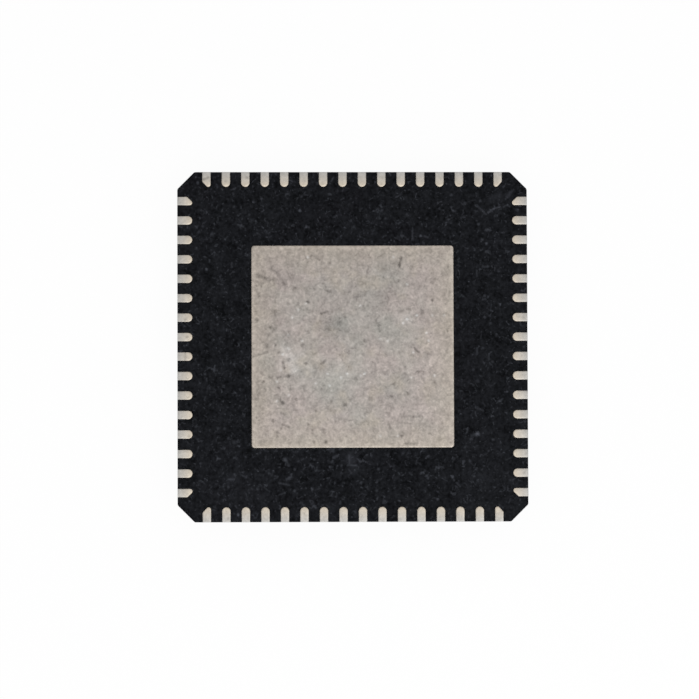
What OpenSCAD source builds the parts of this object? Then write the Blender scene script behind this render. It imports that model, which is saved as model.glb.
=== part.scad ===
// Quad flat no-lead package with an exposed pad, lying on its back with its solder side up.
// Lengths are in millimetres. The origin is the middle of the exposed pad, on the seating
// plane. Heights are measured from that plane into the package, and every piece is mirrored
// at the end, so that the package hangs below the plane. North is +Y and east is +X.

/* [Leads] */
// Number of leads on each side
leads_per_side = 16; // [12:2:20]
// Distance between the middles of neighbouring leads
pitch = 0.5; // [0.4:0.05:0.65]
// Distance from the middle of the last lead in a row to the edge of the package
end_margin = 0.75; // [0.65:0.05:1]
// Width of a lead
lead_w = 0.22; // [0.18:0.01:0.3]
// Length of the foot that shows on the solder side
foot_len = 0.385; // [0.3:0.005:0.5]
// Length of the slant that narrows the foot tips beside the corners, with its rounds
slant_len = 0.16; // [0.12:0.01:0.24]
// Radius of the rounds at both ends of the slant
slant_r = 0.065; // [0.04:0.005:0.08]
// Width of the etched finger that carries the wire
finger_w = 0.16; // [0.1:0.01:0.2]
// Length of the straight end of a finger, where the wire lands
landing_len = 0.2; // [0.12:0.02:0.3]
// Gap between the finger tips and the ledge of the pad
finger_gap = 0.25; // [0.15:0.05:0.35]

/* [Lead frame] */
// Thickness of the copper sheet
frame_t = 0.2; // [0.15:0.01:0.25]
// Depth etched away from the solder side below fingers, ledge and tie bars
etch_depth = 0.1; // [0.05:0.01:0.13]
// Width of the exposed pad, both ways
pad_w = 5.2; // [4.4:0.1:5.4]
// Corner radius of the exposed pad
pad_r = 0.08; // [0.04:0.01:0.2]
// Width of the etched ledge that locks the pad into the compound
ledge_w = 0.15; // [0.05:0.01:0.25]
// Width of the four tie bars that run to the corners
tie_w = 0.2; // [0.12:0.02:0.26]
// Gap between a tie bar and the finger tips beside it
tie_gap = 0.2; // [0.12:0.02:0.3]

/* [Moulded body] */
// Leg of the 45 degree cut at each corner
corner_cut = 0.44; // [0.2:0.02:0.6]
// How far the leads and the pad stand proud of the compound
standoff = 0.02; // [0.01:0.01:0.04]
// Height of the cap above the copper sheet
cap_h = 0.65; // [0.5:0.05:0.8]
// Step from the lead ends in to the foot of the cap
cap_step = 0.125; // [0.05:0.025:0.2]
// Draft of the sides of the cap, in degrees
cap_draft = 12; // [3:1:15]
// Diameter of the round dimple that marks the corner of the first lead
dimple_d = 0.5; // [0.3:0.05:0.8]
// Depth of that dimple
dimple_depth = 0.05; // [0.02:0.01:0.1]
// Distance from the edges of the flat back to the middle of the dimple
dimple_inset = 0.75; // [0.6:0.05:1.5]

/* [Die] */
// Width of the silicon die, both ways
die_w = 3.8; // [3:0.1:4.6]
// Thickness of the die
die_t = 0.25; // [0.15:0.01:0.3]
// Thickness of the glue line under the die
glue_t = 0.025; // [0.015:0.005:0.05]
// Width of the glue that shows around the die
glue_rim = 0.1; // [0.05:0.01:0.2]

/* [Bond wires] */
// Thickness of a wire
wire_d = 0.025; // [0.018:0.001:0.03]
// Height of the wire loop above the die
loop_h = 0.15; // [0.1:0.01:0.2]
// Diameter of the squashed ball at the die end
ball_d = 0.06; // [0.045:0.005:0.08]
// Height of the squashed ball
ball_h = 0.015; // [0.01:0.001:0.02]
// Distance from the edge of the die to the middle of the balls
bond_inset = 0.1; // [0.06:0.01:0.2]
// Distance from a corner of the die to the first ball of a row
bond_corner = 0.4; // [0.25:0.05:0.6]
// Length of the flat end of the wire that is pressed onto the finger
stitch_len = 0.08; // [0.05:0.01:0.1]

/* [Hidden] */
$fn = 48;

// Sides in the order of the lead numbers, clockwise as seen on the solder side
NORTH = 0;
EAST = 1;
SOUTH = 2;
WEST = 3;
SIDES = [NORTH, EAST, SOUTH, WEST];

FIRST = 0;
LAST = leads_per_side - 1;
INNER = [FIRST + 1:LAST - 1];

// How far a cutter runs past the face that it leaves through
overcut = 0.05;

// Sides of a squashed ball, which is too small to need a true round
ball_sides = 8;

// Distances from the middle of the package, towards a side
edge_r = (leads_per_side - 1) * pitch / 2 + end_margin;
foot_r = edge_r - foot_len;
round_r = foot_r + lead_w / 2;
finger_root_r = foot_r + slant_len;
finger_tip_r = pad_w / 2 + ledge_w + finger_gap;
stitch_r = finger_tip_r + landing_len / 2;
ball_r = die_w / 2 - bond_inset;

// Distances between neighbours along a row
finger_pitch = 2 * (finger_tip_r - finger_w / 2 - (tie_w / 2 + tie_gap) * sqrt(2)) / LAST;
ball_pitch = (die_w - 2 * bond_corner) / LAST;

// Widths across the flats and across the corner cuts
body_w = 2 * edge_r;
cap_w = body_w - 2 * cap_step;
back_w = cap_w - 2 * cap_h * tan(cap_draft);
body_diagonal = (body_w - corner_cut) * sqrt(2);
cap_diagonal = body_diagonal - 2 * cap_step;

// Heights above the seating plane
glue_z = frame_t;
die_z = glue_z + glue_t;
ball_z = die_z + die_t;
back_z = frame_t + cap_h;

// Place of one of the leads along its row, for a row of the given spacing
function along_row(i, spacing) = (i - LAST / 2) * spacing;

// Square with its corners cut at 45 degrees
module cut_square(w, cut) {
    intersection() {
        square(w, center = true);
        rotate(45) square((w - cut) * sqrt(2), center = true);
    }
}

// Square with round corners
module round_square(w, r) {
    square([w, w - 2 * r], center = true);
    square([w - 2 * r, w], center = true);
    for (x = [-1, 1], y = [-1, 1])
        translate([x, y] * (w / 2 - r)) circle(r);
}

// Turn the north row's shape to a side
module on_side(side) {
    rotate(-90 * side) children();
}

// Lay the package on its back
module laid_down() {
    mirror([0, 0, 1]) children();
}

// Plan of a foot with straight flanks and a round tip
module round_foot(past_edge) {
    translate([-lead_w / 2, round_r]) square([lead_w, edge_r - round_r + past_edge]);
    translate([0, round_r]) circle(d = lead_w);
}

// Plan of the first foot of a row, slanted on the side of the corner between two equal rounds
module slanted_foot(past_edge) {
    half = lead_w / 2;
    shoulder = [slant_r - half, foot_r + slant_len];
    point = [half - slant_r, foot_r + slant_r];
    way = (point - shoulder) / norm(point - shoulder);
    across = slant_r * [way.y, -way.x];
    polygon([
        [-half, edge_r + past_edge],
        [-half, shoulder.y],
        shoulder,
        shoulder + across,
        point + across,
        point,
        [half, point.y],
        [half, edge_r + past_edge]
    ]);
    for (middle = [shoulder, point])
        translate(middle) circle(slant_r);
}

// Plan of the foot of one of the leads in a row
module foot_plan(i, past_edge) {
    if (i == FIRST)
        slanted_foot(past_edge);
    else if (i == LAST)
        mirror([1, 0]) slanted_foot(past_edge);
    else
        round_foot(past_edge);
}

// Plan of the finger that narrows and fans in towards the pad
module finger_plan(i) {
    root = along_row(i, pitch);
    tip = along_row(i, finger_pitch);
    polygon([
        [root - lead_w / 2, finger_root_r],
        [root + lead_w / 2, finger_root_r],
        [tip + finger_w / 2, finger_tip_r + landing_len],
        [tip + finger_w / 2, finger_tip_r],
        [tip - finger_w / 2, finger_tip_r],
        [tip - finger_w / 2, finger_tip_r + landing_len]
    ]);
}

// One lead: a foot of full thickness and a finger etched to the upper part of the sheet
module lead(side, i, past_edge = 0) {
    on_side(side) {
        translate([along_row(i, pitch), 0]) linear_extrude(frame_t) foot_plan(i, past_edge);
        translate([0, 0, etch_depth]) linear_extrude(frame_t - etch_depth) finger_plan(i);
    }
}

// Exposed block, the etched ledge around it and the etched tie bars
module paddle_form(past_edge = 0) {
    linear_extrude(frame_t) round_square(pad_w, pad_r);
    translate([0, 0, etch_depth]) linear_extrude(frame_t - etch_depth) {
        round_square(pad_w + 2 * ledge_w, pad_r + ledge_w);
        for (turn = [45, 135])
            rotate(turn) square([body_diagonal + 2 * past_edge, tie_w], center = true);
    }
}

module glue_form() {
    translate([0, 0, glue_z]) linear_extrude(glue_t) square(die_w + 2 * glue_rim, center = true);
}

module die_form() {
    translate([0, 0, die_z]) linear_extrude(die_t) square(die_w, center = true);
}

// Middle line of a wire, as [distance from the ball, height above the copper sheet]
function wire_line(span) =
    let (top = glue_t + die_t + loop_h)
    [
        [0, glue_t + die_t],
        [0, top - wire_d],
        [wire_d, top],
        [span - stitch_len, wire_d / 2],
        [span, wire_d / 2]
    ];

// Direction of one stretch of a line, as a unit vector
function heading(line, k) = (line[k + 1] - line[k]) / norm(line[k + 1] - line[k]);

// Point beside a corner of a line, at the given distance from the stretches on both its sides
function beside(line, k, gap) =
    let (
        before = heading(line, max(k - 1, 0)),
        after = heading(line, min(k, len(line) - 2)),
        across = [-before.y - after.y, before.x + after.x]
    )
    line[k] + across * gap / (1 + before * after);

// One wire: a squashed ball on the die and a flat-sided loop to the finger
module wire(side, i) {
    from = [along_row(i, ball_pitch), ball_r];
    to = [along_row(i, finger_pitch), stitch_r];
    line = wire_line(norm(to - from));
    corners = [0:len(line) - 1];
    outline = concat(
        [for (k = corners) beside(line, k, wire_d / 2)],
        [for (k = corners) beside(line, len(line) - 1 - k, -wire_d / 2)]
    );
    on_side(side) translate(from) {
        translate([0, 0, ball_z]) cylinder(h = ball_h, d = ball_d, $fn = ball_sides);
        translate([0, 0, frame_t])
            rotate(atan2(to.y - from.y, to.x - from.x))
                rotate([90, 0, 0])
                    linear_extrude(wire_d, center = true) polygon(outline);
    }
}

// Slab with drafted flanks, as wide as the cap in one direction
module drafted_slab(foot_w) {
    top_w = foot_w - 2 * cap_h * tan(cap_draft);
    rotate([90, 0, 0])
        linear_extrude(2 * body_w, center = true)
            polygon([[-foot_w / 2, 0], [foot_w / 2, 0], [top_w / 2, cap_h], [-top_w / 2, cap_h]]);
}

// Cap of eight drafted sides above the copper sheet
module cap() {
    translate([0, 0, frame_t])
        intersection() {
            drafted_slab(cap_w);
            rotate(90) drafted_slab(cap_w);
            rotate(45) drafted_slab(cap_diagonal);
            rotate(135) drafted_slab(cap_diagonal);
        }
}

module dimple() {
    translate([dimple_inset - back_w / 2, back_w / 2 - dimple_inset, back_z - dimple_depth])
        cylinder(h = dimple_depth + overcut, d = dimple_d);
}

// Compound that fills the sheet's level and the cap, around everything that it was moulded over
module mould_body() {
    color("#1d1f22") laid_down() difference() {
        union() {
            translate([0, 0, standoff])
                linear_extrude(frame_t - standoff) cut_square(body_w, corner_cut);
            cap();
        }
        paddle_form(overcut);
        glue_form();
        die_form();
        for (side = SIDES, i = [FIRST:LAST]) {
            lead(side, i, overcut);
            wire(side, i);
        }
        dimple();
    }
}

module die_paddle() {
    color("#b3aba2") laid_down() paddle_form();
}

module die_glue() {
    color("#9a9c9e") laid_down() glue_form();
}

module die() {
    color("#565c66") laid_down() die_form();
}

// Leads of one row, without the two beside the corners
module leads(side) {
    color("#d2c9bd") laid_down() for (i = INNER) lead(side, i);
}

// The two leads beside the corner that ends a row
module corner_leads(side) {
    color("#d2c9bd") laid_down() {
        lead(side, LAST);
        lead(side + 1, FIRST);
    }
}

// Wires of one row, without the two beside the corners
module wires(side) {
    color("#d8b04a") laid_down() for (i = INNER) wire(side, i);
}

// The two wires beside the corner that ends a row
module corner_wires(side) {
    color("#d8b04a") laid_down() {
        wire(side, LAST);
        wire(side + 1, FIRST);
    }
}

mould_body();
die_paddle();
die_glue();
die();
leads(NORTH);  // leads_north
leads(EAST);  // leads_east
leads(SOUTH);  // leads_south
leads(WEST);  // leads_west
corner_leads(NORTH);  // corner_leads_north_east
corner_leads(EAST);  // corner_leads_south_east
corner_leads(SOUTH);  // corner_leads_south_west
corner_leads(WEST);  // corner_leads_north_west
wires(NORTH);  // wires_north
wires(EAST);  // wires_east
wires(SOUTH);  // wires_south
wires(WEST);  // wires_west
corner_wires(NORTH);  // corner_wires_north_east
corner_wires(EAST);  // corner_wires_south_east
corner_wires(SOUTH);  // corner_wires_south_west
corner_wires(WEST);  // corner_wires_north_west
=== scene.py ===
"""Dresses a leadless chip package that lies on its back, with its solder side up.

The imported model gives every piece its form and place. This script rounds the edges that
plating, moulding and punching leave round, gives each piece the finish of its real material,
and sets up a light tent, a white floor and a camera above the solder side.
"""

import logging
import math
from abc import ABC, abstractmethod
from dataclasses import dataclass
from enum import Enum, IntEnum
from typing import ClassVar, Mapping, Sequence, Union

import bmesh
import bpy
from mathutils import Matrix, Vector


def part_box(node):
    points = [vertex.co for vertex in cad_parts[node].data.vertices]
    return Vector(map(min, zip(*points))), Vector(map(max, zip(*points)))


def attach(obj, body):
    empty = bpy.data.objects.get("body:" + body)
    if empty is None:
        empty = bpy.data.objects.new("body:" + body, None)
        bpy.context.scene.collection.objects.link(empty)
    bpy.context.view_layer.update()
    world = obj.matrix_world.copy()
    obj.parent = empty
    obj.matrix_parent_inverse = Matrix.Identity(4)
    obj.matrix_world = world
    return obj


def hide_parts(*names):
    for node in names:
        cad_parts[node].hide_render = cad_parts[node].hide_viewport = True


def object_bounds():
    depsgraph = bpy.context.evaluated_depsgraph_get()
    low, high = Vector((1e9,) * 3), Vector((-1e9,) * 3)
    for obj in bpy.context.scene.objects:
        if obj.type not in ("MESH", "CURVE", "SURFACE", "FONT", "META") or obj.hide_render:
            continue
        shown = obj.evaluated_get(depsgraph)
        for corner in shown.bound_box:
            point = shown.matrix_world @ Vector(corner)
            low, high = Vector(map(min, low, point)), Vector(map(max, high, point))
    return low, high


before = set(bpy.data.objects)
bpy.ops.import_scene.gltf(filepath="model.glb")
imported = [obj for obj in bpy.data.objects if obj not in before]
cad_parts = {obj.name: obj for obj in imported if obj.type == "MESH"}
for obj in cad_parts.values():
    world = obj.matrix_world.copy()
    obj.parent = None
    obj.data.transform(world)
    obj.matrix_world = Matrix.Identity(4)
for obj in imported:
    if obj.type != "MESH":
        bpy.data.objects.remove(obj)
CAD_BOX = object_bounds()

LOG = logging.getLogger("package")

# Metres in a millimetre
MM = 0.001
# The body that every piece rides on
BODY = "root"
# Height of the solder faces of pad and leads, in millimetres
SOLDER_FACE = 0.0
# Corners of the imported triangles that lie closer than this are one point, in millimetres
MERGE_GAP = 0.0001
# Neighbouring faces that differ by less than this are one flat face
FLAT_ANGLE = math.radians(0.5)
# Edges that turn by more than this stay sharp when the faces are shaded smooth
SHARP_ANGLE = math.radians(35)
# How far a point may lie off a plane and still count as on it, in millimetres
ON_PLANE = 0.002
# How far the grain of a surface moves its roughness up and down
ROUGHNESS_SWING = 0.1
# Share of its own brightness that the darkest spot of a pattern keeps
DARKEST = 0.4

# Middle height of a noise, about which it wavers
NOISE_MIDDLE = 0.5
# Octaves in the grain of a surface, and how strong each is beside the coarser one before it
GRAIN_DETAIL = 3.0
GRAIN_ROUGHNESS = 0.6
# Weight with which large flat faces set the shading of the rounds beside them
FLAT_WEIGHT = 100
# Sockets of the colour mixer: share, colour below, colour above, and the colour that comes out
SHARE, BELOW, ABOVE, MIXED = 0, 6, 7, 2

Tree = bpy.types.NodeTree
Socket = bpy.types.NodeSocket
Mesh = bmesh.types.BMesh
Edge = bmesh.types.BMEdge
Face = bmesh.types.BMFace
Key = Union[int, str]
Feed = Union[float, tuple, Vector, Socket]


class Row(Enum):
    """The four rows of leads, as seen on the solder side."""

    NORTH = "north"
    EAST = "east"
    SOUTH = "south"
    WEST = "west"


class Corner(Enum):
    """The four corners, each with a pair of leads whose tips are slanted."""

    NORTH_EAST = "north_east"
    SOUTH_EAST = "south_east"
    SOUTH_WEST = "south_west"
    NORTH_WEST = "north_west"


class SheetFace(IntEnum):
    """Kinds of faces on a piece of the lead frame, in the order of its material slots."""

    PLATED = 0
    PUNCHED = 1
    ETCHED = 2


def group_nodes(kind: str) -> list:
    """Name the nodes of the leads or of the wires, row by row and then corner by corner."""
    return [f"{kind}_{row.value}" for row in Row] + [f"corner_{kind}_{corner.value}" for corner in Corner]


@dataclass(frozen=True)
class Levels:
    """Heights and reaches of the package, in millimetres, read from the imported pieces."""

    edge: float
    cut_reach: float
    pad_edge: float
    foot_length: float
    compound_face: float
    sheet_bottom: float
    back: float

    @classmethod
    def from_frame(cls) -> "Levels":
        """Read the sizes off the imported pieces.

        Returns:
            The sizes that rounds, finishes and marks are placed by.
        """
        low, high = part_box("mould_body")
        paddle = [v.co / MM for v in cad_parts["die_paddle"].data.vertices]
        feet = [v.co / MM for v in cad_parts["leads_north"].data.vertices]
        return cls(
            edge=high.x / MM,
            cut_reach=max(p.x + p.y for p in paddle),
            pad_edge=max(p.x for p in paddle if p.z > SOLDER_FACE - ON_PLANE),
            foot_length=high.y / MM - min(p.y for p in feet if p.z > SOLDER_FACE - ON_PLANE),
            compound_face=high.z / MM,
            sheet_bottom=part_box("die_paddle")[0].z / MM,
            back=low.z / MM,
        )

    def on_outline(self, point: Vector) -> bool:
        """Say whether a point in metres lies on the punched outline."""
        x, y = abs(point.x) / MM, abs(point.y) / MM
        return max(x, y) > self.edge - ON_PLANE or x + y > self.cut_reach - ON_PLANE


LEVELS = Levels.from_frame()


def linear(colour: str) -> tuple:
    """Turn a colour as it looks on a screen into the values that the shaders take.

    Args:
        colour: sRGB colour as six hex digits after a hash sign.

    Returns:
        Linear red, green and blue, and an alpha of one.
    """
    channels = [int(colour[i:i + 2], 16) / 255 for i in (1, 3, 5)]
    return tuple(c / 12.92 if c <= 0.04045 else ((c + 0.055) / 1.055) ** 2.4 for c in channels) + (1.0,)


def add_node(
    tree: Tree, kind: str, feeds: Mapping[Key, Feed], output: Key = 0, **settings: object
) -> Socket:
    """Add a shader node with its settings, its values and its links.

    Args:
        tree: Node tree that gets the node.
        kind: Blender's name for the node, without the leading ShaderNode.
        feeds: A value or a linked socket for each input that is set, by name or place.
        output: Output that is handed back, by name or place.
        **settings: Properties of the node, such as its operation.

    Returns:
        The chosen output, to link from, or None where the node has no output.
    """
    node = tree.nodes.new("ShaderNode" + kind)
    for name, value in settings.items():
        setattr(node, name, value)
    for socket, feed in feeds.items():
        if isinstance(feed, Socket):
            tree.links.new(feed, node.inputs[socket])
        else:
            node.inputs[socket].default_value = feed
    return node.outputs[output] if node.outputs else None


@dataclass(frozen=True, kw_only=True)
class Pattern(ABC):
    """A pattern that makes a surface brighter or darker by a share. Lengths are in millimetres."""

    strength: float
    middle: ClassVar[float] = 0.0

    @abstractmethod
    def share(self, tree: Tree, place: Socket) -> Socket:
        """Draw the pattern.

        Args:
            tree: Node tree of the material.
            place: Object coordinates.

        Returns:
            One where the pattern is full, nought where there is none of it.
        """


@dataclass(frozen=True, kw_only=True)
class Cloud(Pattern):
    """Soft variation to both sides, of the given size and finer."""

    size: float
    detail: float = 1.0
    roughness: float = 0.6
    swirl: float = 0.0
    seed: float = 0.0
    middle: ClassVar[float] = NOISE_MIDDLE

    def share(self, tree: Tree, place: Socket) -> Socket:
        """Draw the cloud.

        Args:
            tree: Node tree of the material.
            place: Object coordinates.

        Returns:
            A value that wavers about one half.
        """
        feeds = {"Vector": place, "W": self.seed, "Scale": 1 / (self.size * MM)}
        feeds.update({"Detail": self.detail, "Roughness": self.roughness, "Distortion": self.swirl})
        return add_node(tree, "TexNoise", feeds, noise_dimensions="4D")


@dataclass(frozen=True, kw_only=True)
class Spots(Cloud):
    """Ragged spots, where a cloud rises above a level."""

    level: float
    fade: float
    middle: ClassVar[float] = 0.0

    def share(self, tree: Tree, place: Socket) -> Socket:
        """Draw the spots.

        Args:
            tree: Node tree of the material.
            place: Object coordinates.

        Returns:
            One inside a spot, fading to nought at its rim.
        """
        cloud = super().share(tree, place)
        feeds = {"Value": cloud, "From Min": self.level, "From Max": self.level + self.fade}
        return add_node(tree, "MapRange", feeds, interpolation_type="SMOOTHSTEP")


@dataclass(frozen=True, kw_only=True)
class Flecks(Pattern):
    """Short strokes that all lie one way and gather in patches."""

    spacing: float
    width: float
    length: float
    turn: float
    kept: float
    patch: float
    patch_start: ClassVar[float] = 0.40
    patch_full: ClassVar[float] = 0.65

    def share(self, tree: Tree, place: Socket) -> Socket:
        """Draw the strokes.

        Args:
            tree: Node tree of the material.
            place: Object coordinates.

        Returns:
            Up to one inside a stroke, nought between the strokes.
        """
        cell = self.spacing * MM
        feeds = {"Vector": place, "Rotation": (0, 0, math.radians(self.turn))}
        feeds["Scale"] = (cell * self.length / self.width, cell, cell)
        cells = add_node(tree, "Mapping", feeds, vector_type="TEXTURE")
        gap = add_node(tree, "TexVoronoi", {"Vector": cells, "Scale": 1.0})
        chance = add_node(tree, "SeparateColor", {0: gap.node.outputs["Color"]})
        fall = {"To Min": 1.0, "To Max": 0.0}
        weight = add_node(tree, "MapRange", {"Value": chance, "From Max": self.kept, **fall})
        feeds = {"Value": gap, "From Max": self.width / self.spacing, **fall}
        stroke = add_node(tree, "MapRange", feeds, interpolation_type="SMOOTHSTEP")
        patches = add_node(tree, "TexNoise", {"Vector": place, "Scale": 1 / (self.patch * MM)})
        ends = {"From Min": self.patch_start, "From Max": self.patch_full}
        gathered = add_node(tree, "MapRange", {"Value": patches, **ends})
        stroke = add_node(tree, "Math", {0: stroke, 1: weight}, operation="MULTIPLY")
        return add_node(tree, "Math", {0: stroke, 1: gathered}, operation="MULTIPLY")


@dataclass(frozen=True, kw_only=True)
class Border(Pattern):
    """A band along the four sides of a square about the middle, fading inwards over its width."""

    edge: float
    width: float

    def share(self, tree: Tree, place: Socket) -> Socket:
        """Draw the band.

        Args:
            tree: Node tree of the material.
            place: Object coordinates.

        Returns:
            One at the sides of the square, nought at the inner end of the band.
        """
        reach = add_node(tree, "VectorMath", {0: place}, operation="ABSOLUTE")
        parts = add_node(tree, "SeparateXYZ", {0: reach}).node.outputs
        side = add_node(tree, "Math", {0: parts["X"], 1: parts["Y"]}, operation="MAXIMUM")
        ends = {"From Min": (self.edge - self.width) * MM, "From Max": self.edge * MM}
        return add_node(tree, "MapRange", {"Value": side, **ends})


@dataclass(frozen=True)
class Speck:
    """A round spot on a face. Its weight is negative where it is dark. Lengths are in millimetres."""

    spot: tuple
    size: float
    weight: float

    def gap(self, tree: Tree, place: Socket, height: float) -> Socket:
        """Measure how far each point lies from the spot.

        Args:
            tree: Node tree of the material.
            place: Object coordinates.
            height: Height of the face, in millimetres.

        Returns:
            The distance, in metres.
        """
        middle = Vector((*self.spot, height)) * MM
        return add_node(tree, "VectorMath", {0: place, 1: middle}, "Value", operation="DISTANCE")


@dataclass(frozen=True)
class Scratch(Speck):
    """A thin line on a face, from its spot to its end."""

    end: tuple

    def gap(self, tree: Tree, place: Socket, height: float) -> Socket:
        """Measure how far each point lies from the line.

        Args:
            tree: Node tree of the material.
            place: Object coordinates.
            height: Height of the face, in millimetres.

        Returns:
            The distance, in metres.
        """
        start = Vector((*self.spot, height)) * MM
        run = Vector((*self.end, height)) * MM - start
        offset = add_node(tree, "VectorMath", {0: place, 1: start}, operation="SUBTRACT")
        feeds = {0: offset, 1: run / run.length_squared}
        along = add_node(tree, "VectorMath", feeds, "Value", operation="DOT_PRODUCT")
        along = add_node(tree, "Clamp", {0: along})
        nearest = add_node(tree, "VectorMath", {0: run, "Scale": along}, operation="SCALE")
        return add_node(tree, "VectorMath", {0: offset, 1: nearest}, "Value", operation="DISTANCE")


@dataclass(frozen=True, kw_only=True)
class Marks(Pattern):
    """Marks at known places on one flat face, with ragged rims: marks of handling, painted sheen and
    painted glints.
    """

    marks: tuple
    height: float
    ragged: float

    def share(self, tree: Tree, place: Socket) -> Socket:
        """Draw the marks.

        Args:
            tree: Node tree of the material.
            place: Object coordinates.

        Returns:
            The weights of the marks, nought between them.
        """
        waver = add_node(tree, "TexNoise", {"Vector": place, "Scale": 1 / (self.ragged * MM)}, "Color")
        waver = add_node(tree, "VectorMath", {0: waver, 1: (NOISE_MIDDLE,) * 3}, operation="SUBTRACT")
        feeds = {0: waver, 1: (self.ragged * MM,) * 3, 2: place}
        shifted = add_node(tree, "VectorMath", feeds, operation="MULTIPLY_ADD")
        total: Feed = 0.0
        for mark in self.marks:
            gap = mark.gap(tree, shifted, self.height)
            feeds = {"Value": gap, "From Max": mark.size * MM, "To Min": mark.weight, "To Max": 0.0}
            spot = add_node(tree, "MapRange", feeds, interpolation_type="SMOOTHSTEP")
            total = add_node(tree, "Math", {0: spot, 1: total}, operation="ADD")
        return total


def brightness(tree: Tree, place: Socket, patterns: Sequence[Pattern]) -> Socket:
    """Add up patterns to one factor for a surface's colour.

    Args:
        tree: Node tree of the material.
        place: Object coordinates.
        patterns: The patterns on that surface.

    Returns:
        The factor, one where no pattern changes the colour.
    """
    total: Feed = 1.0 - sum(pattern.middle * pattern.strength for pattern in patterns)
    for pattern in patterns:
        feeds = {0: pattern.share(tree, place), 1: pattern.strength, 2: total}
        total = add_node(tree, "Math", feeds, operation="MULTIPLY_ADD")
    return add_node(tree, "Math", {0: total, 1: DARKEST}, operation="MAXIMUM")


@dataclass(frozen=True, kw_only=True)
class Finish(ABC):
    """A finish: the name of the real material and the look that its making gives it."""

    name: str

    def material(self) -> bpy.types.Material:
        """Give the material of this finish, made on the first call.

        Returns:
            The material, shared by all pieces that have this finish.
        """
        made = bpy.data.materials.get(self.name)
        if made is None:
            made = bpy.data.materials.new(self.name)
            made.use_nodes = True
            made.node_tree.nodes.clear()
            place = add_node(made.node_tree, "TexCoord", {}, "Object")
            surface = self.shade(made.node_tree, place)
            add_node(made.node_tree, "OutputMaterial", {"Surface": surface})
        return made

    @abstractmethod
    def shade(self, tree: Tree, place: Socket) -> Socket:
        """Lay out the nodes of the finish.

        Args:
            tree: Node tree of the material.
            place: Object coordinates.

        Returns:
            The surface shader.
        """


@dataclass(frozen=True, kw_only=True)
class GrainyFinish(Finish):
    """A finish with a fine grain, which roughens and dimples it.

    The grain has its size along each axis and the relief its height, in millimetres.
    """

    grain: tuple
    roughness: float
    relief: float

    def grain_height(self, tree: Tree, place: Socket) -> Socket:
        """Draw the grain.

        Args:
            tree: Node tree of the material.
            place: Object coordinates.

        Returns:
            Its height at each point, about one half.
        """
        sizes = tuple(size * MM for size in self.grain)
        drawn = add_node(tree, "Mapping", {"Vector": place, "Scale": sizes}, vector_type="TEXTURE")
        feeds = {"Vector": drawn, "Scale": 1.0, "Detail": GRAIN_DETAIL, "Roughness": GRAIN_ROUGHNESS}
        return add_node(tree, "TexNoise", feeds)

    def surface(self, tree: Tree, colour: Socket, grain: Socket, **constants: float) -> Socket:
        """Join colour and grain to a surface.

        Args:
            tree: Node tree of the material.
            colour: Colour at each point.
            grain: Height of the grain at each point.
            **constants: Values that are the same all over, by the shader's names, with _ for spaces.

        Returns:
            The surface shader.
        """
        low, high = self.roughness - ROUGHNESS_SWING, self.roughness + ROUGHNESS_SWING
        roughness = add_node(tree, "MapRange", {"Value": grain, "To Min": low, "To Max": high})
        normal = add_node(tree, "Bump", {"Height": grain, "Distance": self.relief * MM})
        feeds = {"Base Color": colour, "Roughness": roughness, "Normal": normal}
        feeds.update({name.replace("_", " "): value for name, value in constants.items()})
        return add_node(tree, "BsdfPrincipled", feeds)


@dataclass(frozen=True)
class Tint:
    """A colour that lies over another one where a pattern is full."""

    colour: str
    pattern: Pattern


@dataclass(frozen=True, kw_only=True)
class TinPlate(GrainyFinish):
    """Matte tin, electroplated on copper.

    The coarse crystals of the plating give a pale warm grey that is grainy from close by and
    never mirrors. Handling leaves dark pits, stains, and pressed points with painted glints.
    """

    colour: str
    tints: tuple
    patterns: tuple

    def shade(self, tree: Tree, place: Socket) -> Socket:
        """Lay out the nodes of the plating.

        Args:
            tree: Node tree of the material.
            place: Object coordinates.

        Returns:
            The surface shader.
        """
        colour: Feed = linear(self.colour)
        for tint in self.tints:
            share = tint.pattern.share(tree, place)
            share = add_node(tree, "Math", {0: share, 1: tint.pattern.strength}, operation="MULTIPLY")
            feeds = {SHARE: share, BELOW: colour, ABOVE: linear(tint.colour)}
            colour = add_node(tree, "Mix", feeds, MIXED, data_type="RGBA")
        tone = brightness(tree, place, self.patterns)
        colour = add_node(tree, "VectorMath", {0: colour, "Scale": tone}, operation="SCALE")
        return self.surface(tree, colour, self.grain_height(tree, place), Metallic=1.0)


@dataclass(frozen=True, kw_only=True)
class MouldedEpoxy(GrainyFinish):
    """Epoxy filled with silica and carbon black, moulded under pressure.

    The filler makes it a matte near-black with a fine pale grain. Handling strews it with short
    pale scuffs and specks of dust.
    """

    black: str
    patterns: tuple
    specular: float
    ior: float

    def shade(self, tree: Tree, place: Socket) -> Socket:
        """Lay out the nodes of the compound.

        Args:
            tree: Node tree of the material.
            place: Object coordinates.

        Returns:
            The surface shader.
        """
        tone = brightness(tree, place, self.patterns)
        black = linear(self.black)[:3]
        colour = add_node(tree, "VectorMath", {0: black, "Scale": tone}, operation="SCALE")
        grain = self.grain_height(tree, place)
        return self.surface(tree, colour, grain, IOR=self.ior, Specular_IOR_Level=self.specular)


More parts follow.
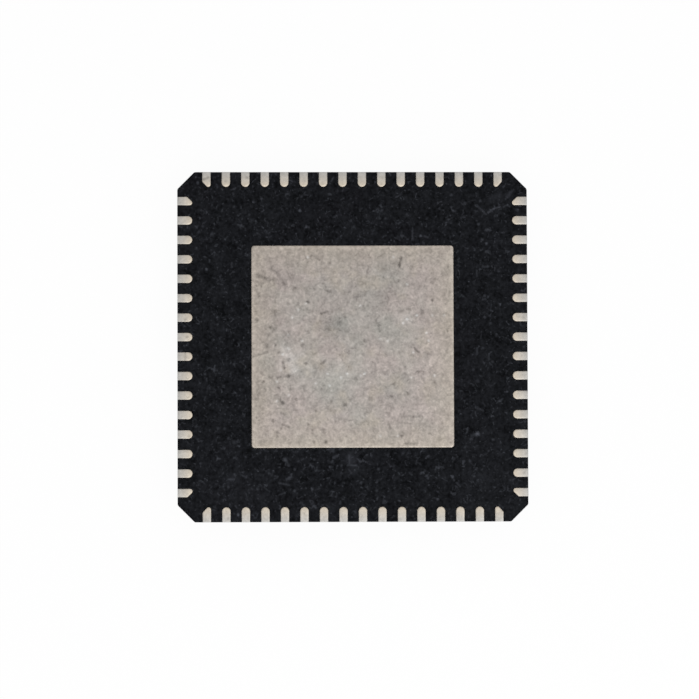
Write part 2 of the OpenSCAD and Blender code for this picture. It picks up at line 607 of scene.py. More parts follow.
@dataclass(frozen=True, kw_only=True)
class DrawnFinish(GrainyFinish):
    """Two tones of one grain, which is drawn out along an axis where the piece was sawn or drawn."""

    light: str
    dark: str
    metallic: float
    light_below: ClassVar[float] = 0.3
    dark_above: ClassVar[float] = 0.7

    def shade(self, tree: Tree, place: Socket) -> Socket:
        """Lay out the nodes of the finish.

        Args:
            tree: Node tree of the material.
            place: Object coordinates.

        Returns:
            The surface shader.
        """
        grain = self.grain_height(tree, place)
        ends = {"From Min": self.light_below, "From Max": self.dark_above}
        tone = add_node(tree, "MapRange", {"Value": grain, **ends})
        feeds = {SHARE: tone, BELOW: linear(self.light), ABOVE: linear(self.dark)}
        colour = add_node(tree, "Mix", feeds, MIXED, data_type="RGBA")
        colour = self.overlay(tree, place, grain, colour)
        return self.surface(tree, colour, grain, Metallic=self.metallic)

    def overlay(self, tree: Tree, place: Socket, grain: Socket, colour: Socket) -> Socket:
        """Lay something over the two tones, which here is nothing.

        Args:
            tree: Node tree of the material.
            place: Object coordinates.
            grain: The drawn grain.
            colour: The two tones.

        Returns:
            The colour with what lies on it.
        """
        return colour


@dataclass(frozen=True, kw_only=True)
class PunchedCopper(DrawnFinish):
    """Copper cut through by the punch, which drags streaks of the plating down over the cut.

    The smear's depth is in millimetres.
    """

    tin: str
    smear: float

    def overlay(self, tree: Tree, place: Socket, grain: Socket, colour: Socket) -> Socket:
        """Smear tin down from the solder face, further on some streaks than on others.

        Args:
            tree: Node tree of the material.
            place: Object coordinates.
            grain: The drawn grain.
            colour: The two tones of the copper.

        Returns:
            Copper with the tin on it.
        """
        height = add_node(tree, "SeparateXYZ", {0: place}, "Z")
        smear = self.smear * MM
        reach = add_node(tree, "Math", {0: grain, 1: smear, 2: height}, operation="MULTIPLY_ADD")
        feeds = {"Value": reach, "From Min": -smear, "From Max": smear}
        smeared = add_node(tree, "MapRange", feeds, interpolation_type="SMOOTHSTEP")
        feeds = {SHARE: smeared, BELOW: colour, ABOVE: linear(self.tin)}
        return add_node(tree, "Mix", feeds, MIXED, data_type="RGBA")


class Reach(float, Enum):
    """How far a mark reaches from its middle to where it ends, in millimetres."""

    HAIR = 0.045
    FINE = 0.06
    SMALL = 0.07
    WIDE = 0.09
    SMUDGE = 0.22
    PATCH = 0.50
    BROAD = 0.80
    AREA = 1.40


class Tone(float, Enum):
    """How much a mark changes the brightness of what it lies on, as a share of it.

    Pits and scratches in tin hold dirt, and rubbed places get a painted sheen and shine. Dust is
    several times as bright as the near-black compound.
    """

    BLACK_PIT = -0.55
    DEEP_PIT = -0.45
    PIT = -0.30
    SHALLOW_PIT = -0.20
    STAIN = -0.10
    # Painted sheen and shine, where rubbed tin catches the light of the tent
    SHEEN = 0.05
    PAINTED_SHINE = 0.20
    THIN_HAZE = 0.25
    HAZE = 1.0
    DIM_DUST = 2.0
    PALE_DUST = 3.0
    BRIGHT_DUST = 5.5


class Cover(float, Enum):
    """How far a stain, or the painted glint of a pressed point, hides the colour of the tin."""

    THIN = 0.15
    DULL = 0.30
    PLAIN = 0.45
    BRIGHT = 0.65


def specks(reach: Reach, weight: float, *spots: tuple) -> tuple:
    """Make round marks of one size and one weight at several spots."""
    return tuple(Speck(spot, reach, weight) for spot in spots)


def scratches(reach: Reach, weight: float, *runs: tuple) -> tuple:
    """Make lines of one width and one weight, each from its start to its end."""
    return tuple(Scratch(start, reach, weight, end) for start, end in runs)


# Marks of handling on the pad: scratches, then dark pits, then stained patches, and rubbed ones whose
# sheen is painted in.
# These and the tables below were given to a twentieth of a millimetre.
PAD_MARKS_AND_SHEEN = (
    *scratches(
        Reach.FINE, Tone.DEEP_PIT,
        ((1.25, 2.3), (1.2, 2.05)), ((1.6, -0.05), (1.7, -0.15)), ((-1.8, -0.4), (-1.75, -0.55)),
    ),
    *scratches(Reach.WIDE, Tone.PIT, ((-2.45, 1.85), (-2.15, 1.7))),
    *scratches(Reach.WIDE, Tone.SHALLOW_PIT, ((-2.0, 1.95), (-1.8, 1.7))),
    *scratches(
        Reach.FINE, Tone.PIT,
        ((-2.45, 1.4), (-2.4, 1.3)), ((-0.7, 1.45), (-0.55, 1.4)), ((-0.8, 0.85), (-0.65, 0.9)),
        ((0.6, 0.7), (0.65, 0.55)), ((-2.55, -0.25), (-2.2, -0.15)), ((-0.8, -0.45), (-0.7, -0.35)),
        ((1.65, -0.65), (1.8, -0.65)), ((-1.8, -2.0), (-1.65, -2.05)), ((1.35, -2.5), (1.65, -2.5)),
    ),
    *scratches(
        Reach.FINE, Tone.SHALLOW_PIT,
        ((-1.05, 2.35), (-0.8, 2.2)), ((-0.75, 1.65), (-0.7, 1.55)), ((-2.0, 0.9), (-2.0, 0.8)),
        ((-1.8, 0.4), (-1.7, 0.3)), ((0.4, 2.35), (0.45, 2.3)), ((0.4, 2.0), (0.35, 1.8)),
        ((-1.95, -0.8), (-1.7, -0.75)), ((-1.9, -1.35), (-1.8, -1.45)), ((0.85, -1.5), (1.05, -1.6)),
        ((-1.85, -1.7), (-1.75, -1.75)), ((1.3, -1.8), (1.75, -1.8)), ((1.25, -1.8), (1.25, -1.95)),
        ((0.9, -1.95), (0.95, -2.1)),
    ),
    *scratches(Reach.WIDE, Tone.STAIN, ((-2.1, 2.25), (-2.05, 2.05)), ((-0.35, 0.75), (-0.3, 0.45))),
    # A rubbed scratch with a painted shine
    *scratches(Reach.FINE, Tone.PAINTED_SHINE, ((2.0, -0.35), (2.0, -0.5))),
    *specks(Reach.SMALL, Tone.BLACK_PIT, (-1.0, -2.45)),
    *specks(Reach.WIDE, Tone.BLACK_PIT, (-1.65, -0.75), (-2.05, -1.9), (-0.7, -2.45)),
    *specks(
        Reach.SMALL, Tone.DEEP_PIT,
        (2.5, 1.4), (2.05, 1.2), (-1.15, 1.15), (-1.2, -0.45), (-2.3, -0.9), (-2.25, -1.1),
        (-1.45, -1.35),
    ),
    *specks(
        Reach.WIDE, Tone.DEEP_PIT,
        (-1.3, 0.05), (-1.65, -0.35), (1.0, -1.3), (-1.8, -1.45), (-0.2, -1.5), (-1.95, -2.2),
    ),
    *specks(
        Reach.SMALL, Tone.PIT,
        (1.8, 2.2), (-2.0, 0.05), (-1.9, -0.15), (-0.1, -0.15), (-1.6, -1.1), (-1.95, -1.25),
        (-0.55, -1.4), (-0.95, -1.65), (-1.05, -2.15),
    ),
    *specks(
        Reach.WIDE, Tone.PIT,
        (-1.5, 1.5), (1.25, 0.9), (1.8, 0.9), (-2.1, 0.5), (-2.2, 0.0), (1.35, -0.55), (1.05, -0.95),
        (-1.9, -1.05), (-0.2, -1.05), (0.45, -1.35), (-0.75, -2.15),
    ),
    *specks(
        Reach.SMALL, Tone.SHALLOW_PIT,
        (1.55, 2.4), (-1.95, 2.25), (0.25, 2.1), (-2.3, 1.95), (-0.45, 1.9), (0.8, 1.8), (1.2, 1.7),
        (-1.0, 1.5), (-0.1, 1.4), (1.1, 1.35), (0.1, 1.25), (-2.0, 1.15), (0.9, 1.15), (-1.65, 1.1),
        (-1.4, 1.1), (0.55, 0.85), (-0.2, 0.75), (-2.45, 0.65), (-0.9, 0.6), (1.4, 0.55), (-1.3, 0.5),
        (-2.0, 0.45), (0.7, 0.4), (1.8, 0.35), (0.3, 0.15), (-0.4, -0.3), (0.55, -0.45), (1.35, -0.7),
        (0.1, -0.85), (-0.75, -1.0), (2.4, -1.0), (-0.8, -1.1), (1.4, -1.2), (-2.15, -1.4), (0.1, -1.5),
        (-1.1, -1.6), (-1.45, -1.65), (2.0, -1.85), (-1.35, -1.9), (-0.45, -1.95), (-0.05, -2.05),
        (-1.85, -2.1), (-0.05, -2.2), (-1.95, -2.3), (1.25, -2.3),
    ),
    *specks(
        Reach.WIDE, Tone.SHALLOW_PIT,
        (-0.6, 2.15), (2.1, 1.75), (1.9, 1.7), (2.05, 1.65), (-1.75, 1.6), (1.45, 0.95), (1.15, 0.65),
        (-0.15, 0.4), (1.95, -0.2), (-2.1, -0.8), (2.1, -1.7),
    ),
    *specks(Reach.WIDE, Tone.STAIN, (-1.6, 2.1), (-1.4, 2.1), (0.35, -1.9), (0.1, -2.1)),
    *specks(Reach.SMUDGE, Tone.STAIN, (1.15, 2.2), (0.2, 0.05)),
    *specks(
        Reach.PATCH, Tone.STAIN,
        (0.75, 2.1), (-1.85, 1.65), (0.25, 1.35), (0.85, 1.25), (-0.4, 0.55), (-2.2, 0.35),
    ),
    # Rubbed patches with a painted sheen, and one with a painted shine
    *specks(
        Reach.PATCH, Tone.SHEEN,
        (1.45, 0.65), (-1.0, 0.35), (2.1, 0.35), (1.9, 0.05), (-0.4, -0.7), (0.9, -0.85), (2.3, -2.05),
    ),
    *specks(Reach.PATCH, Tone.PAINTED_SHINE, (-1.55, -0.35)),
)

# Stains on the pad that are a cooler grey than the tin around them
PAD_STAINS = (
    *specks(
        Reach.BROAD, Cover.DULL,
        (1.0, 2.1), (0.6, 1.7), (-0.65, 1.45), (0.25, 1.2), (0.6, 0.55), (-0.3, 0.5), (1.15, 0.35),
        (-1.4, -0.4), (-1.1, -0.7), (0.05, -0.7), (-0.45, -0.85), (1.15, -1.05), (-0.55, -1.3),
    ),
    *specks(
        Reach.PATCH, Cover.DULL,
        (-1.4, 0.9), (-0.3, 0.6), (-1.85, 0.15), (0.05, 0.05), (-2.25, -0.35), (-0.15, -1.5), (0.2, -1.9),
        (1.0, -2.3),
    ),
)

# Points on the pad that something pressed flat, where their reflection of the white tent is painted in as
# near-white glints
PAD_PAINTED_GLINTS = (
    *specks(
        Reach.FINE, Cover.DULL,
        (1.05, 2.3), (-1.2, 1.1), (0.2, 1.05), (-1.4, 0.95), (2.05, 0.8), (2.35, 0.8), (-1.65, 0.3),
        (0.7, 0.2), (0.9, 0.15), (-1.65, -0.05), (-1.85, -0.6), (0.2, -0.75), (1.5, -0.8), (-0.95, -0.95),
        (-1.65, -1.25), (-1.95, -1.4), (0.7, -2.3), (1.15, -2.3),
    ),
    *specks(
        Reach.FINE, Cover.PLAIN,
        (-1.15, 2.3), (1.4, 1.6), (-1.55, 0.75), (1.3, 0.6), (1.9, 0.35), (-1.3, 0.15), (1.95, 0.15),
        (1.55, -0.15), (-1.8, -0.2), (-0.65, -0.7), (-0.15, -0.7), (2.1, -0.75), (-0.3, -0.8),
        (-1.95, -0.9), (-0.6, -1.0),
    ),
    *specks(Reach.FINE, Cover.BRIGHT, (1.65, 0.8), (1.4, 0.7), (0.3, -0.7)),
    *specks(Reach.SMUDGE, Cover.THIN, (1.4, 0.7), (-1.75, -0.1), (-1.6, -0.3), (-1.5, -0.6)),
)

# Marks of handling on the leads: smudges and pits in the tin
LEAD_MARKS = (
    *scratches(Reach.FINE, Tone.PIT, ((-3.85, 4.3), (-3.7, 4.35))),
    *scratches(Reach.HAIR, Tone.SHALLOW_PIT, ((-4.3, -0.15), (-4.3, -0.35))),
    *specks(Reach.SMALL, Tone.PIT, (-4.25, 0.25)),
    *specks(
        Reach.SMALL, Tone.SHALLOW_PIT,
        (-2.7, 4.35), (-3.25, 4.25), (4.4, 0.75), (-4.3, 0.7), (-4.2, -2.3), (4.45, -2.75), (4.4, -3.25),
        (-3.2, -4.4),
    ),
)

# Pale marks on the compound: hairs, short scratches and dust from handling, then pale smudges and two
# broad pale patches towards the south side
COMPOUND_MARKS = (
    *scratches(Reach.HAIR, Tone.PALE_DUST, ((3.5, 3.45), (3.65, 3.55)), ((3.65, 3.55), (3.8, 3.6))),
    *scratches(
        Reach.FINE, Tone.PALE_DUST,
        ((3.45, 3.0), (3.55, 3.0)), ((-0.5, -2.85), (-0.4, -2.8)), ((-1.7, -3.4), (-1.6, -3.35)),
    ),
    *scratches(
        Reach.HAIR, Tone.DIM_DUST,
        ((3.2, 3.65), (3.45, 3.4)), ((3.9, 3.6), (4.0, 3.65)), ((4.0, 3.65), (4.05, 3.6)),
        ((-2.95, 3.15), (-2.8, 3.1)), ((1.55, 3.05), (1.55, 2.75)), ((1.85, 2.85), (1.95, 2.8)),
        ((3.35, 2.05), (3.5, 2.05)), ((3.2, 1.95), (3.2, 1.8)), ((3.2, -0.05), (3.2, -0.2)),
        ((3.5, -0.2), (3.5, -0.35)), ((3.7, -1.45), (3.85, -1.35)), ((3.2, -1.6), (3.35, -1.65)),
        ((-0.1, -2.8), (-0.1, -3.0)), ((-0.15, -3.05), (0.1, -3.05)), ((2.15, -3.1), (2.3, -3.1)),
        ((1.45, -3.25), (1.5, -3.3)), ((-3.2, -3.4), (-3.05, -3.4)), ((2.65, -3.5), (2.75, -3.6)),
        ((-1.9, -3.5), (-1.65, -3.55)), ((-1.9, -3.8), (-1.75, -3.75)),
    ),
    *scratches(
        Reach.SMALL, Tone.DIM_DUST,
        ((4.0, 3.85), (4.1, 4.0)), ((3.05, -2.3), (3.2, -2.25)), ((-1.75, -2.9), (-1.65, -3.05)),
    ),
    *scratches(Reach.SMUDGE, Tone.HAZE, ((3.6, 3.8), (3.75, 3.85)), ((0.0, -2.8), (0.0, -3.2))),
    *specks(
        Reach.FINE, Tone.BRIGHT_DUST,
        (-1.35, 3.5), (1.75, 2.85), (3.45, 2.65), (-3.75, 2.0), (2.55, -3.35), (-2.95, -4.3),
    ),
    *specks(
        Reach.FINE, Tone.PALE_DUST,
        (2.55, 3.9), (3.3, 3.75), (2.6, 3.5), (3.25, 3.15), (3.35, 2.75), (3.4, 1.3), (3.4, 0.75),
        (-3.8, -0.7), (3.6, -2.4), (2.85, -2.95), (0.65, -3.15), (-1.5, -3.15), (-2.15, -3.25),
        (0.2, -3.5), (-1.05, -3.65), (-1.5, -3.7),
    ),
    *specks(
        Reach.FINE, Tone.DIM_DUST,
        (2.9, 3.7), (0.75, 3.6), (-3.05, 3.6), (0.65, 3.55), (0.75, 3.5), (1.4, 3.4), (-2.65, 3.4),
        (0.7, 3.3), (0.85, 3.3), (-3.85, 3.1), (-3.95, 2.95), (-3.1, 2.15), (-3.1, 2.05), (3.55, 0.6),
        (3.35, -0.05), (3.6, -0.4), (-3.05, -0.45), (3.1, -0.6), (3.1, -1.0), (-3.3, -2.1), (-3.2, -2.35),
        (-2.95, -2.4), (-1.0, -2.9), (-1.4, -2.95), (3.0, -2.95), (-0.3, -3.05), (-0.05, -3.25),
        (-0.3, -3.25), (-2.75, -3.35), (3.2, -3.45), (-3.2, -3.6), (-2.6, -3.65), (-2.45, -3.65),
        (0.6, -3.7), (0.8, -3.85),
    ),
    *specks(Reach.WIDE, Tone.BRIGHT_DUST, (3.2, -2.25)),
    *specks(Reach.WIDE, Tone.PALE_DUST, (-1.75, -2.9)),
    *specks(Reach.WIDE, Tone.DIM_DUST, (-2.6, 3.25), (-3.6, 2.9), (3.2, -0.9), (-3.05, -2.45)),
    *specks(Reach.SMUDGE, Tone.HAZE, (3.35, -2.25), (-0.15, -2.85), (-3.1, -3.4)),
    *specks(Reach.AREA, Tone.THIN_HAZE, (3.4, -3.5), (-2.9, -3.7)),
)

# Matte tin on the pad: coarse crystals, handled a lot, yellower towards the rim, with a painted highlight
# along the rim itself
PAD_TIN = TinPlate(
    name="matte_tin_plate_pad",
    colour="#b8aea9",
    tints=(
        Tint("#b3afa7", Spots(strength=0.4, size=0.80, detail=2, level=0.44, fade=0.18, seed=6)),
        Tint("#afaea8", Marks(strength=1.3, marks=PAD_STAINS, height=SOLDER_FACE, ragged=0.30)),
        Tint("#b9b0a4", Spots(strength=0.6, size=0.70, detail=2, level=0.50, fade=0.20, seed=7)),
        Tint("#b9b0a4", Border(strength=0.7, edge=LEVELS.pad_edge, width=0.8)),
        # Painted glints: near-white where pressed points mirror the tent
        Tint("#f4f4f2", Marks(strength=1.0, marks=PAD_PAINTED_GLINTS, height=SOLDER_FACE, ragged=0.05)),
    ),
    patterns=(
        Cloud(strength=0.20, size=1.6, seed=1),
        Cloud(strength=0.28, size=0.60, seed=2),
        Cloud(strength=0.38, size=0.25, swirl=1.0, seed=8),
        Cloud(strength=0.80, size=0.12, swirl=1.0, seed=9),
        Cloud(strength=0.56, size=0.06, seed=5),
        Spots(strength=-0.22, size=0.15, level=0.64, fade=0.12, seed=3),
        # Painted glints: bright specks scattered over the crystals
        Spots(strength=0.25, size=0.10, level=0.66, fade=0.12, seed=4),
        # Painted highlight along the rim of the pad
        Border(strength=0.18, edge=LEVELS.pad_edge, width=0.14),
        # Pits, scratches and stains, and the painted sheen and shine of rubbed places
        Marks(strength=1.1, marks=PAD_MARKS_AND_SHEEN, height=SOLDER_FACE, ragged=0.05),
    ),
    grain=(0.08, 0.08, 0.08),
    roughness=0.5,
    relief=0.003,
)

# Matte tin on the leads: finer and paler, cooler towards the punched ends, with a painted shade that
# darkens each foot towards its punched end
LEAD_TIN = TinPlate(
    name="matte_tin_plate_leads",
    colour="#dfd3c1",
    tints=(Tint("#d3d1cd", Border(strength=1.0, edge=LEVELS.edge, width=LEVELS.foot_length)),),
    patterns=(
        Cloud(strength=0.45, size=0.2, detail=4, roughness=0.7, seed=1),
        Cloud(strength=0.35, size=0.08, seed=2),
        # Painted shade: each foot darkens towards its punched end, where it rolls over
        Border(strength=-0.16, edge=LEVELS.edge, width=LEVELS.foot_length),
        Marks(strength=1.0, marks=LEAD_MARKS, height=SOLDER_FACE, ragged=0.05),
    ),
    grain=(0.07, 0.07, 0.07),
    roughness=0.5,
    relief=0.002,
)

# Moulding compound: near-black, with filler grain drawn as coarse as it has to be to show
COMPOUND = MouldedEpoxy(
    name="moulded_epoxy_compound",
    black="#18191c",
    patterns=(
        Cloud(strength=2.6, size=0.40, detail=4, roughness=0.7, seed=1),
        Cloud(strength=2.2, size=0.08, seed=3),
        Spots(strength=3.6, size=0.13, swirl=1.0, level=0.56, fade=0.28, seed=2),
        Spots(strength=3.4, size=0.08, level=0.62, fade=0.20, seed=4),
        Flecks(strength=3.2, spacing=0.17, width=0.035, length=0.14, turn=20, kept=0.3, patch=0.8),
        Flecks(strength=3.2, spacing=0.19, width=0.035, length=0.14, turn=80, kept=0.3, patch=0.9),
        Flecks(strength=3.2, spacing=0.18, width=0.035, length=0.14, turn=140, kept=0.3, patch=0.7),
        Marks(strength=1.0, marks=COMPOUND_MARKS, height=LEVELS.compound_face, ragged=0.05),
    ),
    specular=0.02,
    ior=1.55,
    grain=(0.07, 0.07, 0.07),
    roughness=0.7,
    relief=0.003,
)

# Punched copper: bright metal torn into upright streaks, with tin dragged over its upper part
CUT_COPPER = PunchedCopper(
    name="punched_copper",
    light="#c58a66",
    dark="#8f5b41",
    grain=(0.02, 0.02, 0.25),
    metallic=1.0,
    tin="#b9b2a8",
    smear=0.06,
    roughness=0.4,
    relief=0.004,
)

# Etched copper: evenly matte, where the compound grips the lead frame
ETCHED_COPPER = DrawnFinish(
    name="etched_copper",
    light="#c98d68",
    dark="#a9714f",
    grain=(0.03, 0.03, 0.03),
    metallic=1.0,
    roughness=0.5,
    relief=0.003,
)

# Sawn silicon: dark grey with fine level saw lines on its sides
SAWN_SILICON = DrawnFinish(
    name="sawn_silicon",
    light="#5f656f",
    dark="#4c525c",
    grain=(0.05, 0.05, 0.01),
    metallic=0.5,
    roughness=0.3,
    relief=0.001,
)

# Glue filled with silver flakes: a dull grainy grey
SILVER_GLUE = DrawnFinish(
    name="silver_filled_glue",
    light="#a6a8aa",
    dark="#8b8d90",
    grain=(0.02, 0.02, 0.02),
    metallic=0.4,
    roughness=0.5,
    relief=0.002,
)

# Drawn gold: smooth and bright
DRAWN_GOLD = DrawnFinish(
    name="drawn_gold_wire",
    light="#e0ba58",
    dark="#c79c3a",
    grain=(0.05, 0.05, 0.05),
    metallic=1.0,
    roughness=0.25,
    relief=0.0005,
)


def at_height(edge: Edge, height: float) -> bool:
    """Say whether both ends of an edge lie at a height in millimetres."""
    return all(abs(v.co.z / MM - height) < ON_PLANE for v in edge.verts)


def turns(edge: Edge) -> bool:
    """Say whether the surface turns sharply at an edge."""
    return len(edge.link_faces) == 2 and edge.calc_face_angle() > SHARP_ANGLE


@dataclass
class DressedPiece(ABC):
    """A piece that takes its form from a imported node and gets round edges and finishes."""

    name: str
    node: str
    slot: str

    def build(self) -> None:
        """Copy the node, round its edges, dress it and let it stand for the node."""
        mesh = self.merged_copy()
        self.shape(mesh)
        piece = self.settle(mesh)
        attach(piece, BODY)
        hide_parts(self.node)
        LOG.info("%s: %d faces", self.name, len(piece.data.polygons))

    def merged_copy(self) -> Mesh:
        """Copy the node's loose triangles into a closed mesh of flat faces.

        Returns:
            The mesh, still with its sharp edges.
        """
        mesh = bmesh.new()
        mesh.from_mesh(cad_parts[self.node].data)
        bmesh.ops.remove_doubles(mesh, verts=mesh.verts, dist=MERGE_GAP * MM)
        bmesh.ops.dissolve_limit(mesh, angle_limit=FLAT_ANGLE, verts=mesh.verts, edges=mesh.edges)
        return mesh

    @staticmethod
    def round_edges(mesh: Mesh, edges: list, width: float, drop: float, segments: int) -> None:
        """Round edges over a width and a drop that may differ.

        The mesh is stretched in height while the bevel runs, so that an even bevel there ends up
        wide and shallow.

        Args:
            mesh: Mesh that holds the edges.
            edges: Edges to round.
            width: Width of the round along the face, in millimetres.
            drop: Height of the round, in millimetres.
            segments: Number of facets across the round.
        """
        stretch = width / drop
        bmesh.ops.scale(mesh, vec=(1, 1, stretch), verts=mesh.verts)
        bmesh.ops.bevel(
            mesh, geom=edges, affect="EDGES", offset=width * MM, offset_type="OFFSET",
            segments=segments, profile=0.5, material=-1, clamp_overlap=False,
        )
        bmesh.ops.scale(mesh, vec=(1, 1, 1 / stretch), verts=mesh.verts)

    def settle(self, mesh: Mesh) -> bpy.types.Object:
        """Turn the shaped mesh into an object with smooth rounds, flat faces and its finishes.

        Args:
            mesh: The shaped mesh, which is used up.

        Returns:
            The object, at the origin.
        """
        for face in mesh.faces:
            face.smooth = True
            face.material_index = self.finish_of(face)
        for edge in mesh.edges:
            edge.smooth = not turns(edge)
        data = bpy.data.meshes.new(self.name)
        mesh.to_mesh(data)
        mesh.free()
        for finish in self.finishes():
            data.materials.append(finish.material())
        piece = bpy.data.objects.new(self.name, data)
        bpy.context.scene.collection.objects.link(piece)
        flat = piece.modifiers.new("flat_faces", "WEIGHTED_NORMAL")
        flat.weight = FLAT_WEIGHT
        flat.keep_sharp = True
        return piece

    @abstractmethod
    def shape(self, mesh: Mesh) -> None:
        """Round the edges of the copied node.

        Args:
            mesh: The merged copy, which is changed in place.
        """

    @abstractmethod
    def finishes(self) -> tuple:
        """List the finishes of the piece, in the order of its material slots."""

    @abstractmethod
    def finish_of(self, face: Face) -> int:
        """Choose the finish of a face, as its place in the list of finishes."""


@dataclass
class PlatedCopper(DressedPiece):
    """A piece of the lead frame: plated on its faces, bare where it is punched or etched."""

    plating: TinPlate
    rim_width: float = 0.04
    rim_segments: int = 4

    def shape(self, mesh: Mesh) -> None:
        """Round the rim of the solder faces as far down as they stand proud.

        Args:
            mesh: The merged copy, which is changed in place.
        """
        rim = [edge for edge in mesh.edges if at_height(edge, SOLDER_FACE) and turns(edge)]
        proud = SOLDER_FACE - LEVELS.compound_face
        self.round_edges(mesh, rim, self.rim_width, proud, self.rim_segments)

    def finishes(self) -> tuple:
        """List plating, punched copper and etched copper."""
        return (self.plating, CUT_COPPER, ETCHED_COPPER)

    def finish_of(self, face: Face) -> int:
        """Choose plating on both faces of the sheet, punched copper on ends, else etched copper.

        Args:
            face: A face of the shaped mesh.

        Returns:
            Place of its finish in the list of finishes.
        """
        height = face.calc_center_median().z / MM
        if height > LEVELS.compound_face + ON_PLANE or height < LEVELS.sheet_bottom + ON_PLANE:
            return SheetFace.PLATED
        if all(LEVELS.on_outline(v.co) for v in face.verts):
            return SheetFace.PUNCHED
        return SheetFace.ETCHED


@dataclass
class MouldedBody(DressedPiece):
    """The compound, with the small rounds that the mould and the punch leave on its edges.

    The rounds are in millimetres. An edge that spans the flank share of the cap's height is a flank.
    """

    cap_round: float = 0.08
    dimple_round: float = 0.02
    outline_round: float = 0.03
    flank_share: float = 0.9
    segments: int = 3

    def shape(self, mesh: Mesh) -> None:
        """Round the cap, then the rim of its dimple, then the punched outline.

        Args:
            mesh: The merged copy, which is changed in place.
        """
        self.round_edges(mesh, self.cap_edges(mesh), self.cap_round, self.cap_round, self.segments)
        dimple = [edge for edge in mesh.edges if turns(edge) and at_height(edge, LEVELS.back)]
        self.round_edges(mesh, dimple, self.dimple_round, self.dimple_round, self.segments)
        outline = self.outline_edges(mesh)
        self.round_edges(mesh, outline, self.outline_round, self.outline_round, self.segments)

    def cap_edges(self, mesh: Mesh) -> list:
        """Find the edges between the cap's drafted sides and around its back.

        Args:
            mesh: The merged copy.

        Returns:
            Those edges, without the small ones around the dimple.
        """
        drop = self.flank_share * (LEVELS.sheet_bottom - LEVELS.back) * MM
        flanks = [e for e in mesh.edges if abs(e.verts[0].co.z - e.verts[1].co.z) > drop]
        back = [e for e in mesh.edges if at_height(e, LEVELS.back) and turns(e)]
        return flanks + [e for e in back if e.calc_length() > self.cap_round * MM]

    @staticmethod
    def outline_edges(mesh: Mesh) -> list:
        """Find the edges of the punched rim, apart from those that meet the ends of leads and tie bars.

        Args:
            mesh: The merged copy.

        Returns:
            The edges along the rim's top and bottom and at its corners.
        """
        found = []
        for edge in mesh.edges:
            if not turns(edge) or not all(LEVELS.on_outline(v.co) for v in edge.verts):
                continue
            level = at_height(edge, LEVELS.compound_face) or at_height(edge, LEVELS.sheet_bottom)
            if level or all(LEVELS.on_outline(v.co) for face in edge.link_faces for v in face.verts):
                found.append(edge)
        return found

    def finishes(self) -> tuple:
        """List the compound alone."""
        return (COMPOUND,)

    def finish_of(self, face: Face) -> int:
        """Give every face the compound."""
        return 0


@dataclass
class InnerPieces:
    """Die, glue and wires, which the compound covers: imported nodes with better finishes."""

    die: str = "die"
    glue: str = "die_glue"
    wires: str = "wires"

    def dress(self) -> None:
        """Give each covered node the finish of its material."""
        finish_of = {self.die: SAWN_SILICON, self.glue: SILVER_GLUE}
        finish_of.update({node: DRAWN_GOLD for node in group_nodes(self.wires)})
        for name, finish in finish_of.items():
            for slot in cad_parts[name].material_slots:
                slot.material = finish.material()
            LOG.info("%s: %s", name, finish.name)


@dataclass(frozen=True, kw_only=True)
class PaperFloor(Finish):
    """White paper under the package, lit evenly enough to look white.

    Seen straight or in a reflection, most of its light is its own white, and the rest takes the
    soft shadow of the package. Its fibres, sized in millimetres, make it waver by a share.
    """

    paper: str
    own_share: float
    fibre: float
    waver: float

    def shade(self, tree: Tree, place: Socket) -> Socket:
        """Lay out the nodes of the floor.

        Args:
            tree: Node tree of the material.
            place: Object coordinates.

        Returns:
            The surface shader.
        """
        fibres = add_node(tree, "TexNoise", {"Vector": place, "Scale": 1 / (self.fibre * MM)})
        ends = {"To Min": 1 - self.waver, "To Max": 1 + self.waver}
        tone = add_node(tree, "MapRange", {"Value": fibres, **ends})
        paper = linear(self.paper)[:3]
        colour = add_node(tree, "VectorMath", {0: paper, "Scale": tone}, operation="SCALE")
        matte = add_node(tree, "BsdfDiffuse", {"Color": colour})
        white = add_node(tree, "Emission", {"Strength": 1.0})
        rays = add_node(tree, "LightPath", {}).node.outputs
        feeds = {0: rays["Is Camera Ray"], 1: rays["Is Glossy Ray"]}
        seen = add_node(tree, "Math", feeds, operation="MAXIMUM")
        seen = add_node(tree, "Math", {0: seen, 1: rays["Is Transmission Ray"]}, operation="MAXIMUM")
        share = add_node(tree, "Math", {0: seen, 1: self.own_share}, operation="MULTIPLY")
        return add_node(tree, "MixShader", {0: share, 1: matte, 2: white})


# White paper: matte and even, with fibres drawn just coarse enough to show
WHITE_PAPER = PaperFloor(name="white_paper", paper="#fcfcfc", own_share=0.95, fibre=0.4, waver=0.02)


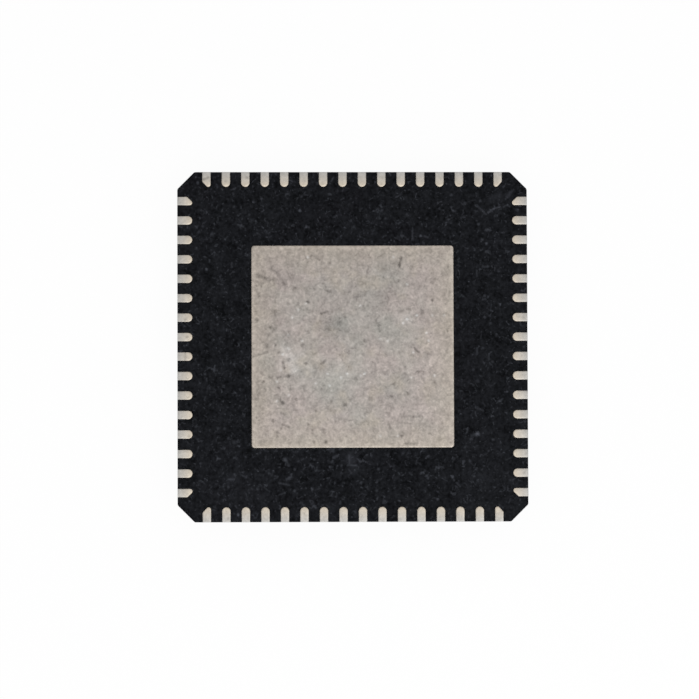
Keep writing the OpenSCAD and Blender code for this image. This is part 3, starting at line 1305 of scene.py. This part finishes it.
@dataclass
class Studio:
    """Light tent with a dimmer roof, one soft lamp and a white floor. Lengths are in millimetres."""

    floor_radius: float = 150
    floor_sides: int = 96
    horizon: float = 1.0
    zenith: float = 0.85
    lamp_place: tuple = (10, -28, 34)
    lamp_width: float = 60
    lamp_power: float = 0.008

    def build(self) -> None:
        """Set up the tent, the lamp and the floor."""
        self.tent()
        self.lamp()
        self.floor()
        bpy.context.scene.view_settings.view_transform = "Standard"

    def tent(self) -> None:
        """Light the scene from all sides, less from straight above."""
        world = bpy.data.worlds.new("light_tent")
        world.use_nodes = True
        tree = world.node_tree
        tree.nodes.clear()
        direction = add_node(tree, "TexCoord", {}, "Generated")
        height = add_node(tree, "SeparateXYZ", {0: direction}, "Z")
        feeds = {"Value": height, "To Min": self.horizon, "To Max": self.zenith}
        strength = add_node(tree, "MapRange", feeds, interpolation_type="SMOOTHSTEP")
        light = add_node(tree, "Background", {"Strength": strength})
        add_node(tree, "OutputWorld", {"Surface": light})
        bpy.context.scene.world = world

    def lamp(self) -> None:
        """Hang the soft lamp that makes one side of the package a little brighter."""
        data = bpy.data.lights.new("soft_lamp", "AREA")
        data.size = self.lamp_width * MM
        data.energy = self.lamp_power
        lamp = bpy.data.objects.new("soft_lamp", data)
        lamp.location = Vector(self.lamp_place) * MM
        lamp.rotation_euler = lamp.location.to_track_quat("Z", "Y").to_euler()
        bpy.context.scene.collection.objects.link(lamp)

    def floor(self) -> None:
        """Lay the floor under the back of the package."""
        mesh = bmesh.new()
        radius = self.floor_radius * MM
        bmesh.ops.create_circle(mesh, cap_ends=True, radius=radius, segments=self.floor_sides)
        bmesh.ops.translate(mesh, vec=(0, 0, CAD_BOX[0].z), verts=mesh.verts)
        data = bpy.data.meshes.new("floor")
        mesh.to_mesh(data)
        mesh.free()
        data.materials.append(WHITE_PAPER.material())
        floor = bpy.data.objects.new("floor", data)
        bpy.context.scene.collection.objects.link(floor)


@dataclass
class PhotoCamera:
    """Camera above the solder side, tilted a little.

    Lengths are in millimetres and turns in degrees. Near and far limits are shares of the distance.
    """

    distance: float = 100
    pixels_per_mm: float = 38.938
    image_width: float = 699
    sensor: float = 36
    tilt: float = -2.76
    lean: float = 1.772
    roll: float = 0.102
    aim: tuple = (0.0842, 0.0765)
    near: float = 0.1
    far: float = 100

    def build(self) -> None:
        """Place the camera and make it the scene's own."""
        data = bpy.data.cameras.new("camera")
        data.sensor_width = self.sensor
        data.lens = self.distance * self.pixels_per_mm * self.sensor / self.image_width
        data.clip_start = self.near * self.distance * MM
        data.clip_end = self.far * self.distance * MM
        turn = (
            Matrix.Rotation(math.radians(self.roll), 4, "Z")
            @ Matrix.Rotation(math.radians(self.lean), 4, "Y")
            @ Matrix.Rotation(math.radians(self.tilt), 4, "X")
        )
        place = Vector((-self.aim[0], -self.aim[1], self.distance)) * MM
        camera = bpy.data.objects.new("camera", data)
        camera.matrix_world = turn.inverted() @ Matrix.Translation(place)
        bpy.context.scene.collection.objects.link(camera)
        bpy.context.scene.camera = camera


def main() -> None:
    """Build the studio and dress every piece of the package."""
    logging.basicConfig(level=logging.INFO, format="%(name)s: %(message)s")
    PhotoCamera().build()
    Studio().build()
    MouldedBody("moulded_body", "mould_body", "moulding_compound").build()
    PlatedCopper("plated_paddle", "die_paddle", "tinned_pad", PAD_TIN).build()
    for node in group_nodes("leads"):
        PlatedCopper("plated_" + node, node, "tinned_leads", LEAD_TIN).build()
    InnerPieces().dress()


if __name__ == "__main__":
    main()
